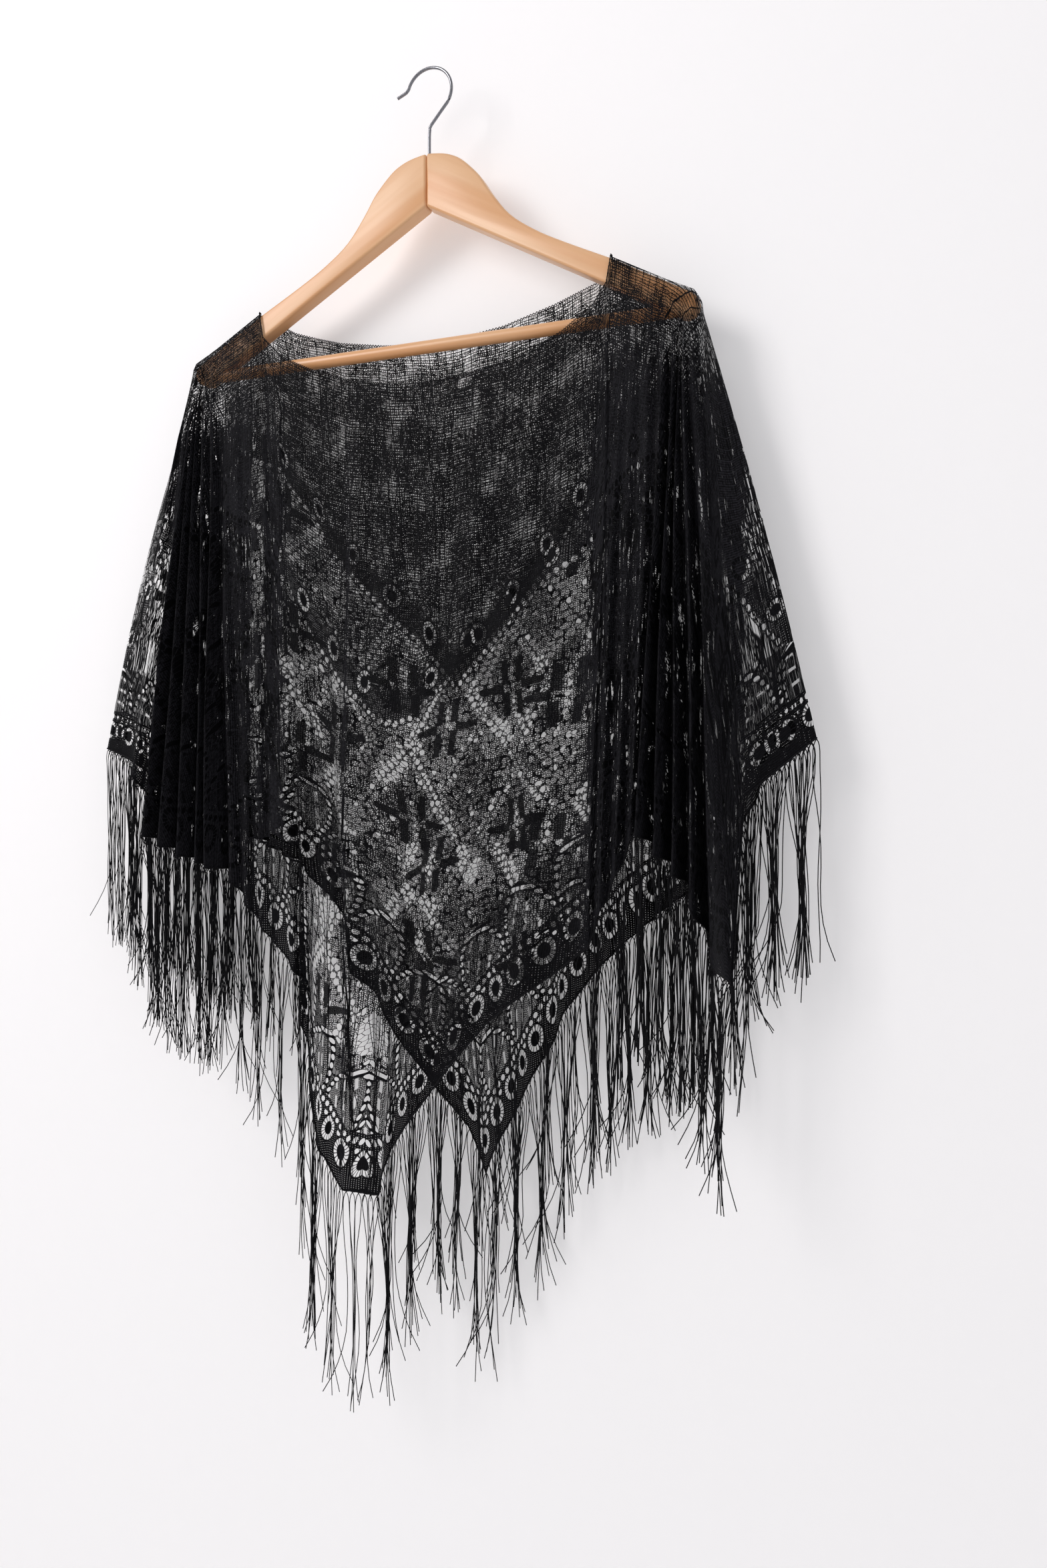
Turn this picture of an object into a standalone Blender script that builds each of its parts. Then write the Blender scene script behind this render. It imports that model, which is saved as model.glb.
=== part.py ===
"""Fringed lace poncho with pointed front and back, hanging on a wooden clothes hanger.

Units are metres. X runs along the hanger, Y towards the back, Z up.
The origin is the inner top of the hook's loop, where the hanger hangs.
Heights in the tables are measured from the mitre, the point under the two arms.
"""

import math

import bmesh
import bpy
from mathutils import Vector

# Hanger
MITRE_DROP = 0.112
ARM_THICKNESS = 0.0138
ARM_SLOPE = math.radians(29.4)
ARM_LENGTH = 0.245
ARM_END_RADIUS = 0.009
ARM_EDGE_ROUND = 0.0014
MITRE_GAP = 0.0003
BAR_RADIUS = 0.0051
BAR_HALF_LENGTH = 0.203
BAR_HEIGHT = -0.110
WIRE_RADIUS = 0.00125
LOOP_RADIUS = 0.0193
LOOP_HEIGHT = 0.094
HOOK_BALL = 1.9
SEAT_GAP = 0.0003

# Top edge of the right arm from the mitre's crown to the straight stretch: x and height
ARM_CROWN = (
    (0.0130, 0.0400),
    (0.0225, 0.0368),
    (0.0305, 0.0320),
    (0.0400, 0.0230),
    (0.0474, 0.0143),
    (0.0560, 0.0010),
    (0.0710, -0.0180),
    (0.0910, -0.0330),
    (0.1140, -0.0460),
    (0.1540, -0.0660),
)
CROWN_HEIGHT = 0.042

# Cloth
CLOTH = 0.0012
SEAM_GAP = 0.0003
THICKEST = {-1: 0.0070, 1: 0.0050}
CUT_DEPTH = 0.640
CUT_HALF_WIDTH = 0.592
CUT_SIDE_DEPTH = 0.176
BAND_DEPTH = 0.228
BAND_WIDTH = 0.026
LEAST_BAND_DEPTH = 0.030
BORDER_TOP = 0.046
BORDER_BOTTOM = 0.014
WRAP = 0.004
BAND_ROW = 3
LEAST_RUN = 0.0004
WIDEST_PLAIN = 0.030
LEAST_CELL = 0.0125
HOLE_WIDTH = 0.0085
HOLE_HEIGHT = 0.0120
SIDE_BOW = {"left": 0.008, "right": 0.003}

# Tear in the back panel's net, behind the neck
TEAR_X = 0.0275
TEAR_HEIGHT = -0.1395
TEAR_WIDTH = 0.0150
TEAR_TALL = 0.0075

# Fringe
STRAND_LENGTH = 0.168
STRAND_WIDTH = 0.0016
STRAND_PITCH = 0.0165
STRIP_HEIGHT = 0.003
ROOT_DROP = 0.0005
LEAST_ROOT = 0.0012
CLUMP = 0.0035
CLUMP_PITCH = 0.034

# One row for each fold line, from the left side to the right side.
# across and turn place the line on the flat cut: its start along the shoulder line,
# and its direction, 90 straight down and 0 along the shoulder line.
# pleats and depth are those between this line and the next.
FOLD_COLUMNS = (
    "kind", "across", "turn", "x_top", "z_top", "y_top", "x_hem", "z_hem", "y_hem", "pleats", "depth",
)
FRONT_FOLDS = (
    ("edge", -0.250, 0, -0.2205, -0.1100, -0.0008, -0.318, -0.429, -0.0008, 0, 0.000),
    ("arm", -0.250, 12, -0.2195, -0.1045, -0.0090, -0.281, -0.440, -0.0100, 2, 0.024),
    ("arm", -0.250, 38, -0.2165, -0.0995, -0.0092, -0.246, -0.500, -0.0140, 3, 0.034),
    ("arm", -0.250, 70, -0.2080, -0.0955, -0.0092, -0.205, -0.524, -0.0150, 2, 0.032),
    ("arm", -0.250, 90, -0.1960, -0.0895, -0.0090, -0.178, -0.532, -0.0150, 3, 0.018),
    ("arm", -0.182, 90, -0.1542, -0.0662, -0.0088, -0.134, -0.590, -0.0170, 0, 0.000),
    ("neck", -0.178, 90, -0.1535, -0.0650, -0.0090, -0.130, -0.593, -0.0180, 0, 0.000),
    ("neck", -0.165, 90, -0.1500, -0.0860, -0.0090, -0.118, -0.604, -0.0190, 1, 0.006),
    ("neck", -0.145, 90, -0.1300, -0.1060, -0.0100, -0.101, -0.622, -0.0200, 1, 0.012),
    ("neck", -0.110, 90, -0.1000, -0.1210, -0.0110, -0.097, -0.672, -0.0220, 1, 0.010),
    ("neck", -0.065, 90, -0.0620, -0.1350, -0.0115, -0.089, -0.740, -0.0240, 1, 0.008),
    ("neck", -0.035, 90, -0.0320, -0.1400, -0.0120, -0.077, -0.766, -0.0250, 0, 0.000),
    ("neck", -0.014, 90, -0.0130, -0.1430, -0.0120, -0.063, -0.785, -0.0260, 0, 0.000),
    ("neck", 0.014, 90, 0.0130, -0.1430, -0.0120, -0.031, -0.785, -0.0260, 1, 0.006),
    ("neck", 0.045, 90, 0.0410, -0.1400, -0.0120, -0.021, -0.748, -0.0250, 1, 0.009),
    ("neck", 0.090, 90, 0.0780, -0.1340, -0.0115, 0.014, -0.698, -0.0220, 1, 0.007),
    ("neck", 0.133, 90, 0.1150, -0.1180, -0.0105, 0.057, -0.645, -0.0200, 1, 0.012),
    ("neck", 0.160, 90, 0.1400, -0.1000, -0.0095, 0.113, -0.603, -0.0190, 0, 0.000),
    ("neck", 0.172, 90, 0.1500, -0.0850, -0.0090, 0.132, -0.588, -0.0180, 0, 0.000),
    ("neck", 0.178, 90, 0.1535, -0.0650, -0.0090, 0.139, -0.583, -0.0180, 0, 0.000),
    ("arm", 0.182, 90, 0.1542, -0.0662, -0.0088, 0.143, -0.570, -0.0170, 3, 0.020),
    ("arm", 0.250, 90, 0.1960, -0.0895, -0.0090, 0.178, -0.490, -0.0150, 3, 0.034),
    ("arm", 0.250, 55, 0.2080, -0.0955, -0.0092, 0.214, -0.532, -0.0150, 2, 0.038),
    ("arm", 0.250, 24, 0.2160, -0.0995, -0.0092, 0.247, -0.604, -0.0220, 0, 0.000),
    ("arm", 0.250, 12, 0.2193, -0.1045, -0.0090, 0.254, -0.470, -0.0110, 0, 0.000),
    ("edge", 0.250, 0, 0.2205, -0.1100, -0.0008, 0.303, -0.428, -0.0008, 0, 0.000),
)
BACK_FOLDS = (
    ("edge", -0.250, 0, -0.2205, -0.1100, 0.0008, -0.318, -0.429, 0.0008, 0, 0.000),
    ("arm", -0.250, 14, -0.2193, -0.1045, 0.0090, -0.279, -0.452, 0.0095, 3, 0.012),
    ("arm", -0.250, 55, -0.2140, -0.0985, 0.0092, -0.232, -0.482, 0.0095, 3, 0.013),
    ("arm", -0.250, 90, -0.1960, -0.0895, 0.0090, -0.178, -0.506, 0.0090, 3, 0.011),
    ("arm", -0.182, 90, -0.1542, -0.0662, 0.0088, -0.128, -0.530, 0.0100, 0, 0.000),
    ("neck", -0.178, 90, -0.1535, -0.0650, 0.0090, -0.124, -0.534, 0.0100, 1, 0.005),
    ("neck", -0.150, 90, -0.1300, -0.0790, 0.0095, -0.086, -0.571, 0.0110, 0, 0.000),
    ("neck", -0.128, 90, -0.1100, -0.0860, 0.0100, -0.080, -0.618, 0.0110, 1, 0.006),
    ("neck", -0.100, 90, -0.0870, -0.0930, 0.0105, -0.049, -0.651, 0.0110, 0, 0.000),
    ("neck", -0.055, 90, -0.0480, -0.1000, 0.0110, -0.002, -0.708, 0.0115, 1, 0.006),
    ("neck", -0.025, 90, -0.0220, -0.1030, 0.0110, 0.025, -0.738, 0.0120, 0, 0.000),
    ("neck", 0.000, 90, 0.0000, -0.1040, 0.0110, 0.042, -0.773, 0.0125, 0, 0.000),
    ("neck", 0.018, 90, 0.0160, -0.1037, 0.0110, 0.053, -0.747, 0.0120, 1, 0.005),
    ("neck", 0.070, 90, 0.0600, -0.0985, 0.0110, 0.080, -0.695, 0.0120, 1, 0.006),
    ("neck", 0.120, 90, 0.1020, -0.0880, 0.0105, 0.107, -0.641, 0.0115, 1, 0.005),
    ("neck", 0.160, 90, 0.1360, -0.0770, 0.0095, 0.136, -0.603, 0.0110, 0, 0.000),
    ("neck", 0.178, 90, 0.1535, -0.0650, 0.0090, 0.146, -0.594, 0.0105, 0, 0.000),
    ("arm", 0.182, 90, 0.1542, -0.0662, 0.0088, 0.149, -0.590, 0.0090, 3, 0.011),
    ("arm", 0.250, 90, 0.1960, -0.0895, 0.0090, 0.182, -0.560, 0.0090, 4, 0.013),
    ("arm", 0.250, 45, 0.2140, -0.0985, 0.0092, 0.236, -0.520, 0.0095, 2, 0.012),
    ("arm", 0.250, 12, 0.2193, -0.1045, 0.0090, 0.262, -0.456, 0.0095, 0, 0.000),
    ("edge", 0.250, 0, 0.2205, -0.1100, 0.0008, 0.303, -0.428, 0.0008, 0, 0.000),
)

BLACK_YARN = (0.010, 0.010, 0.012, 1.0)
BEECH = (0.80, 0.52, 0.31, 1.0)
PALE_BEECH = (0.72, 0.41, 0.19, 1.0)
CHROME = (0.62, 0.63, 0.65, 1.0)


def clear_scene():
    for item in list(bpy.data.objects):
        bpy.data.objects.remove(item, do_unlink=True)


def material(name, colour, roughness, metallic=0.0):
    made = bpy.data.materials.new(name)
    made.use_nodes = True
    shader = made.node_tree.nodes["Principled BSDF"]
    shader.inputs["Base Color"].default_value = colour
    shader.inputs["Roughness"].default_value = roughness
    shader.inputs["Metallic"].default_value = metallic
    return made


def mesh_object(name, verts, faces, finish):
    mesh = bpy.data.meshes.new(name)
    mesh.from_pydata([tuple(v) for v in verts], [], faces)
    mesh.materials.append(finish)
    made = bpy.data.objects.new(name, mesh)
    bpy.context.scene.collection.objects.link(made)
    return made


def from_mitre(x, y, height):
    """A point given by its height above the mitre."""
    return Vector((x, y, height - MITRE_DROP))


def cutter(name, radius, depth, place, along_x=False):
    """A hidden round cutter for a Boolean."""
    bpy.ops.mesh.primitive_cylinder_add(vertices=20, radius=radius, depth=depth, location=place)
    made = bpy.context.object
    made.name = name
    if along_x:
        made.rotation_euler = (0.0, math.pi / 2, 0.0)
    made.hide_render = True
    made.display_type = "WIRE"
    return made


def subtract(target, tool):
    cut = target.modifiers.new(tool.name, "BOOLEAN")
    cut.operation = "DIFFERENCE"
    cut.object = tool
    cut.solver = "EXACT"


def arm_outline():
    """The right arm seen from the front: lower edge, round end, top edge, crown."""
    half_gap = MITRE_GAP / 2
    along = Vector((math.cos(ARM_SLOPE), -math.sin(ARM_SLOPE)))
    upward = Vector((math.sin(ARM_SLOPE), math.cos(ARM_SLOPE)))
    centre = along * (ARM_LENGTH - ARM_END_RADIUS) + upward * ARM_END_RADIUS
    points = [Vector((half_gap, -half_gap * math.tan(ARM_SLOPE)))]
    steps = 6
    for step in range(steps + 1):
        angle = -math.pi / 2 + math.pi * step / steps
        points.append(
            centre + along * ARM_END_RADIUS * math.cos(angle) + upward * ARM_END_RADIUS * math.sin(angle)
        )
    points += [Vector(row) for row in reversed(ARM_CROWN)]
    points.append(Vector((half_gap, CROWN_HEIGHT)))
    return points


def hanger_arm(name, side, bar_hole, stem_hole):
    outline = arm_outline()
    count = len(outline)
    half = ARM_THICKNESS / 2
    verts = [from_mitre(side * p.x, y, p.y) for y in (-half, half) for p in outline]
    front = list(range(count))
    back = [count + k for k in reversed(range(count))]
    sides = [(k, k + count, (k + 1) % count + count, (k + 1) % count) for k in range(count)]
    faces = [front, back] + sides
    if side < 0:
        faces = [list(reversed(face)) for face in faces]
    arm = mesh_object(name, verts, faces, material(name, BEECH, 0.45))
    rounding = arm.modifiers.new("rounded edges", "BEVEL")
    rounding.width = ARM_EDGE_ROUND
    rounding.segments = 2
    rounding.limit_method = "ANGLE"
    rounding.angle_limit = math.radians(50)
    subtract(arm, bar_hole)
    subtract(arm, stem_hole)
    return arm


def hanger_bar():
    bpy.ops.mesh.primitive_cylinder_add(
        vertices=20,
        radius=BAR_RADIUS,
        depth=2 * BAR_HALF_LENGTH,
        location=from_mitre(0.0, 0.0, BAR_HEIGHT),
        rotation=(0.0, math.pi / 2, 0.0),
    )
    bar = bpy.context.object
    bar.name = "hanger_bar"
    bar.data.materials.append(material("hanger_bar", PALE_BEECH, 0.4))
    bar.data.shade_smooth()
    bar.data.set_sharp_from_angle(angle=math.radians(40))
    return bar


def hook_route():
    """Stem, slanting neck, open round loop and the tip that turns outwards, with the wire's thickness."""
    route = [(0.0, 0.016, 1.0), (0.0, 0.040, 1.0), (0.0, 0.062, 1.0), (0.0015, 0.0665, 1.0)]
    first, last, steps = -35, 162, 20
    for step in range(steps + 1):
        angle = math.radians(first + (last - first) * step / steps)
        x = LOOP_RADIUS * math.cos(angle)
        route.append((x, LOOP_HEIGHT + LOOP_RADIUS * math.sin(angle), 1.0))
    route += [(-0.0215, 0.0972, 1.0), (-0.0243, 0.0961, 1.0)]
    route += [(-0.0252, 0.0957, HOOK_BALL), (-0.0270, 0.0950, HOOK_BALL), (-0.0281, 0.0946, 0.8)]
    return route


def hanger_hook():
    route = hook_route()
    curve = bpy.data.curves.new("hanger_hook", "CURVE")
    curve.dimensions = "3D"
    curve.bevel_depth = WIRE_RADIUS
    curve.bevel_resolution = 2
    curve.use_fill_caps = True
    spline = curve.splines.new("POLY")
    spline.points.add(len(route) - 1)
    for point, (x, height, swell) in zip(spline.points, route):
        place = from_mitre(x, 0.0, height)
        point.co = (place.x, place.y, place.z, 1.0)
        point.radius = swell
    curve.materials.append(material("hanger_hook", CHROME, 0.12, 1.0))
    hook = bpy.data.objects.new("hanger_hook", curve)
    bpy.context.scene.collection.objects.link(hook)
    return hook


def cut_length(across, turn):
    """Length on the flat cut from the shoulder line to the hem, along one fold line."""
    slope = (CUT_DEPTH - CUT_SIDE_DEPTH) / CUT_HALF_WIDTH
    angle = math.radians(turn)
    to_point_hem = (CUT_DEPTH - slope * abs(across)) / (math.sin(angle) + slope * math.cos(angle))
    if turn > 85:
        return to_point_hem
    return min(to_point_hem, (CUT_HALF_WIDTH - abs(across)) / math.cos(angle))


def band_share(across, turn):
    """How far down a fold line the inner band of the lace lies."""
    slope = (CUT_DEPTH - CUT_SIDE_DEPTH) / CUT_HALF_WIDTH
    angle = math.radians(turn)
    down = (BAND_DEPTH - slope * abs(across)) / (math.sin(angle) + slope * math.cos(angle))
    return max(down, LEAST_BAND_DEPTH) / cut_length(across, turn)


def row_shares(across, turn):
    """Where the rows of the wall cross a fold line: over the arm, along the inner band, and along the border."""
    length = cut_length(across, turn)
    band = band_share(across, turn)
    top, foot = 1 - BORDER_TOP / length, 1 - BORDER_BOTTOM / length
    after = band + BAND_WIDTH / length
    field = [after + (top - after) * k / 4 for k in range(5)]
    return [0.0, WRAP, band / 2, band] + field + [foot, 1.0]


def blend(a, b, f):
    return a + (b - a) * f


def fold_lines(folds):
    """Every column of the wall: the table's lines and the ridges and valleys of the pleats between them."""
    lines = []
    rows = [dict(zip(FOLD_COLUMNS, row)) for row in folds]
    for number, (row, following) in enumerate(zip(rows, rows[1:])):
        count = max(1, 2 * row["pleats"])
        flat_width = abs(following["x_hem"] - row["x_hem"])
        if row["pleats"] == 0 and flat_width > WIDEST_PLAIN:
            count = 2
        for step in range(count):
            f = step / count
            line = {key: blend(row[key], following[key], f) for key in FOLD_COLUMNS[1:9]}
            ridge = step % 2 if row["pleats"] else 0
            unevenness = 1.0 + 0.22 * math.sin(2.3 * number + 1.7 * step)
            line["ridge"] = ridge * row["depth"] * unevenness
            line["kind"] = row["kind"] if row["kind"] == following["kind"] or step == 0 else "neck"
            if row["kind"] == "edge" and step:
                line["kind"] = "arm"
            lines.append(line)
    last = dict(rows[-1])
    last["ridge"] = 0.0
    lines.append(last)
    return lines


def wall_point(line, share, towards):
    """Middle of the cloth on a fold line, share of the way down, before the wrap over the arm."""
    x = blend(line["x_top"], line["x_hem"], share)
    height = blend(line["z_top"], line["z_hem"], share)
    side = "left" if line["x_top"] < 0 else "right"
    outer = max(0.0, 1.0 - line["turn"] / 60.0)
    x += math.copysign(SIDE_BOW[side] * outer * math.sin(math.pi * share), line["x_top"])
    y = blend(line["y_top"], line["y_hem"], share**0.8)
    y += towards * line["ridge"] * share**0.85
    return from_mitre(x, y, height)


def wall_faces(lines, towards):
    """Outer and inner points of the wall, row by row. towards is -1 for the front, 1 for the back."""
    shares = [row_shares(line["across"], line["turn"]) for line in lines]
    middle = [
        [wall_point(line, shares[j][i], towards) for j, line in enumerate(lines)]
        for i in range(len(shares[0]))
    ]
    outer, inner = [], []
    row_above = middle[0]
    for i, row in enumerate(middle):
        outer_row, inner_row = [], []
        for j, point in enumerate(row):
            before, after = row[max(j - 1, 0)], row[min(j + 1, len(row) - 1)]
            steep = max(
                abs(p.y - point.y) / max(abs(p.x - point.x), LEAST_RUN) for p in (before, after)
            )
            half = min(CLOTH * math.hypot(1.0, steep), THICKEST[towards]) / 2
            if lines[j]["kind"] == "edge":
                half = CLOTH / 2
            outward = Vector((0.0, towards * half, 0.0))
            place = point.copy()
            if lines[j]["kind"] == "arm" and i == 0:
                place = Vector((point.x, towards * SEAM_GAP / 2, point.z + 1.1 * CLOTH))
                outward = Vector((0.0, 0.0, CLOTH / 2))
            elif lines[j]["kind"] == "arm" and i == 1:
                place.z = row_above[j].z + CLOTH / 2
                outward = Vector((0.0, towards * CLOTH / 2, CLOTH / 3))
            outer_row.append(place + outward)
            inner_row.append(place - outward)
        outer.append(outer_row)
        inner.append(inner_row)
    return outer, inner


def hole_wanted(i, j, rows, columns, corners):
    """True where the lace has gaps that are cut through: inner band, field and border."""
    if j in (0, columns - 2):
        return False
    width = min((corners[1] - corners[0]).length, (corners[2] - corners[3]).length)
    height = min((corners[3] - corners[0]).length, (corners[2] - corners[1]).length)
    if width < LEAST_CELL or height < LEAST_CELL:
        return False
    if i == rows - 3 or i == BAND_ROW:
        return True
    return BAND_ROW < i < rows - 3 and (i + 2 * j) % 4 == 0


def hole_corners(corners):
    """A four-sided gap in the middle of one cell of the wall, standing on its point."""
    a, b, c, d = corners
    centre = (a + b + c + d) / 4
    right = (b + c - a - d) / 2
    down = (c + d - a - b) / 2
    right *= min(0.34, HOLE_WIDTH / 2 / right.length)
    down *= min(0.34, HOLE_HEIGHT / 2 / down.length)
    return [centre - down, centre + right, centre + down, centre - right]


def torn_corners(corners):
    """The tear's four corners in the cell of the wall that holds it, and nothing in any other cell."""
    a, b, c, d = corners
    down = (a.z + MITRE_DROP - TEAR_HEIGHT) / (a.z - d.z)
    left, right = a.lerp(d, down), b.lerp(c, down)
    over = (TEAR_X - left.x) / (right.x - left.x)
    if not (0.0 < down < 1.0 and 0.0 < over < 1.0):
        return None
    centre = left.lerp(right, over)
    aside = (right - left).normalized() * TEAR_WIDTH / 2
    below = (d - a).normalized() * TEAR_TALL / 2
    return [centre - below, centre + aside, centre + below, centre - aside]


def lace_panel(name, folds, towards, finish):
    """A cloth wall on its fold lines, with the largest gaps of the lace cut through it. Returns its hem."""
    lines = fold_lines(folds)
    outer, inner = wall_faces(lines, towards)
    rows, columns = len(outer), len(lines)
    verts = [p for row in outer for p in row] + [p for row in inner for p in row]
    shift = rows * columns
    faces = []
    holes = 0

    def at(i, j, inside=False):
        return i * columns + j + (shift if inside else 0)

    for i in range(rows - 1):
        for j in range(columns - 1):
            ring = [(i, j), (i, j + 1), (i + 1, j + 1), (i + 1, j)]
            front = [at(*cell) for cell in ring]
            back = [at(*cell, True) for cell in ring]
            corners = [verts[k] for k in front]
            corners_behind = [verts[k] for k in back]
            torn = torn_corners(corners) if towards > 0 and i else None
            if torn:
                gap, gap_behind = torn, torn_corners(corners_behind)
            elif hole_wanted(i, j, rows, columns, corners):
                gap, gap_behind = hole_corners(corners), hole_corners(corners_behind)
            else:
                faces += [front, back[::-1]]
                continue
            holes += 1
            start = len(verts)
            verts += gap + gap_behind
            hole_front = [start + k for k in range(4)]
            hole_back = [start + 4 + k for k in range(4)]
            for k in range(4):
                following = (k + 1) % 4
                faces.append([front[k], front[following], hole_front[following], hole_front[k]])
                faces.append([back[following], back[k], hole_back[k], hole_back[following]])
                faces.append([hole_front[k], hole_front[following], hole_back[following], hole_back[k]])
    for j in range(columns - 1):
        faces.append([at(0, j + 1), at(0, j), at(0, j, True), at(0, j + 1, True)])
        faces.append([at(rows - 1, j), at(rows - 1, j + 1), at(rows - 1, j + 1, True), at(rows - 1, j, True)])
    for i in range(rows - 1):
        faces.append([at(i, 0), at(i + 1, 0), at(i + 1, 0, True), at(i, 0, True)])
        faces.append([at(i + 1, columns - 1), at(i, columns - 1), at(i, columns - 1, True), at(i + 1, columns - 1, True)])
    if towards < 0:
        faces = [face[::-1] for face in faces]
    print(name, "cells", (rows - 1) * (columns - 1), "gaps cut", holes)
    mesh_object(name, verts, faces, finish)
    return outer[-1], inner[-1]


def clumped(x, drop):
    """Strands drift together into locks as they fall, without crossing."""
    reach = min(1.0, max(0.0, drop - 0.02) / STRAND_LENGTH)
    return x + CLUMP * reach * math.sin(2 * math.pi * x / CLUMP_PITCH)


def fringe_stations(near, far):
    """Places along the hem where a strand can hang, each with the wall's near and far point."""
    stations = [(near[0], far[0])]
    for k in range(len(near) - 1):
        span = (near[k + 1] - near[k]).length
        parts = max(1, round(span / STRAND_PITCH))
        for part in range(1, parts + 1):
            f = part / parts
            stations.append((near[k].lerp(near[k + 1], f), far[k].lerp(far[k + 1], f)))
    return stations


def fringe(name, near, far, finish):
    """A narrow strip under the hem, with one tapered strand drawn down from each of its cells."""
    stations = fringe_stations(near, far)
    gap = Vector((0.0, 0.0, -SEAM_GAP))
    height = Vector((0.0, 0.0, -STRIP_HEIGHT))
    verts, faces = [], []
    for front, back in stations:
        verts += [front + gap, back + gap, front + gap + height, back + gap + height]
    for k in range(len(stations) - 1):
        a, b = 4 * k, 4 * (k + 1)
        faces += [[a, a + 2, b + 2, b], [a + 1, b + 1, b + 3, a + 3], [a, b, b + 1, a + 1]]
        bottom = [a + 2, a + 3, b + 3, b + 2]
        middle = sum((verts[v] for v in bottom), Vector()) / 4
        wide = abs(verts[b + 2].x - verts[a + 2].x)
        if wide < LEAST_ROOT:
            faces.append(bottom)
            continue
        half = min(STRAND_WIDTH, 0.6 * wide) / 2
        length = STRAND_LENGTH * (1.0 + 0.06 * math.sin(3.1 * k))
        ring = bottom
        for drop, share in ((ROOT_DROP, 1.0), (0.55 * length, 0.85), (length, 0.7)):
            start = len(verts)
            x = clumped(middle.x, drop)
            y = blend(middle.y, middle.y * 0.92, drop / length)
            z = middle.z - drop
            r = half * share
            verts += [Vector((x - r, y - r, z)), Vector((x - r, y + r, z))]
            verts += [Vector((x + r, y + r, z)), Vector((x + r, y - r, z))]
            fresh = [start, start + 1, start + 2, start + 3]
            for n in range(4):
                m = (n + 1) % 4
                faces.append([ring[n], ring[m], fresh[m], fresh[n]])
            ring = fresh
        faces.append(ring)
    last = 4 * (len(stations) - 1)
    faces += [[0, 1, 3, 2], [last, last + 2, last + 3, last + 1]]
    made = mesh_object(name, verts, faces, finish)
    shell = bmesh.new()
    shell.from_mesh(made.data)
    bmesh.ops.recalc_face_normals(shell, faces=shell.faces)
    shell.to_mesh(made.data)
    shell.free()
    return made


def fringes(layer, outer, inner, towards, finish):
    """The hem's fringe in two lengths that meet under the point."""
    near, far = (outer, inner) if towards < 0 else (inner, outer)
    lowest = min(range(len(near)), key=lambda k: near[k].z)
    apart = Vector((SEAM_GAP, 0.0, 0.0))
    fringe(f"fringe_{layer}_left", near[: lowest + 1], far[: lowest + 1], finish)
    right_near = [near[lowest] + apart] + near[lowest + 1 :]
    right_far = [far[lowest] + apart] + far[lowest + 1 :]
    fringe(f"fringe_{layer}_right", right_near, right_far, finish)


def build():
    clear_scene()
    bar_hole = cutter(
        "bar_hole", BAR_RADIUS + SEAT_GAP, 2 * (BAR_HALF_LENGTH + SEAT_GAP),
        from_mitre(0.0, 0.0, BAR_HEIGHT), along_x=True,
    )
    stem_hole = cutter("stem_hole", WIRE_RADIUS + SEAT_GAP, 0.040, from_mitre(0.0, 0.0, 0.0355))
    hanger_arm("hanger_arm_left", -1, bar_hole, stem_hole)
    hanger_arm("hanger_arm_right", 1, bar_hole, stem_hole)
    hanger_bar()
    hanger_hook()
    lace = material("black lace", BLACK_YARN, 0.8)
    yarn = material("fringe yarn", BLACK_YARN, 0.7)
    for layer, folds, towards in (("front", FRONT_FOLDS, -1), ("back", BACK_FOLDS, 1)):
        outer, inner = lace_panel(f"{layer}_panel", folds, towards, lace)
        fringes(layer, outer, inner, towards, yarn)


build()
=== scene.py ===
import math
import random

import bpy
import numpy as np
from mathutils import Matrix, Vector


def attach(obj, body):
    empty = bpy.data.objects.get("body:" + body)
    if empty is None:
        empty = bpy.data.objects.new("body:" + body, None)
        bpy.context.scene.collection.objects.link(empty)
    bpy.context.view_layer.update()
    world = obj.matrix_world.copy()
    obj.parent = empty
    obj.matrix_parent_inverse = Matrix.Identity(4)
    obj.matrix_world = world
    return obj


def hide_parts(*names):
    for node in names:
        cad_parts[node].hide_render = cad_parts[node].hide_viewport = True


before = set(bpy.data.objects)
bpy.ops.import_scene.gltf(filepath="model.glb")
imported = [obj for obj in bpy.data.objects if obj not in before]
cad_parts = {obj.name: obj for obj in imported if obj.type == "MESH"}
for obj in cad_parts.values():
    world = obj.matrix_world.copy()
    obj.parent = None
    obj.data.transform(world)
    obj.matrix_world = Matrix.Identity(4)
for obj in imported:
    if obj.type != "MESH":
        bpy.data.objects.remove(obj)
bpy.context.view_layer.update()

mitreDrop = 0.112  # the hook's inner top stands this far above the mitre, in metres


def easeInOut(f):
    return 0.5 - 0.5 * math.cos(math.pi * min(1.0, max(0.0, f)))


def blend(a, b, f):
    return a + (b - a) * f


def addObject(name, data):
    made = bpy.data.objects.new(name, data)
    bpy.context.scene.collection.objects.link(made)
    return made


def addMesh(name, verts, faces, finish):
    mesh = bpy.data.meshes.new(name)
    mesh.from_pydata(verts, [], faces)
    mesh.materials.append(finish)
    mesh.polygons.foreach_set("use_smooth", [True] * len(mesh.polygons))
    return addObject(name, mesh)


def bakeModifiers(item):
    # turns live modifiers into plain mesh data, so that the piece stands alone
    graph = bpy.context.evaluated_depsgraph_get()
    live = item.evaluated_get(graph)
    done = bpy.data.meshes.new_from_object(live, preserve_all_data_layers=True, depsgraph=graph)
    item.modifiers.clear()
    old = item.data
    item.data = done
    bpy.data.meshes.remove(old)


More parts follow.
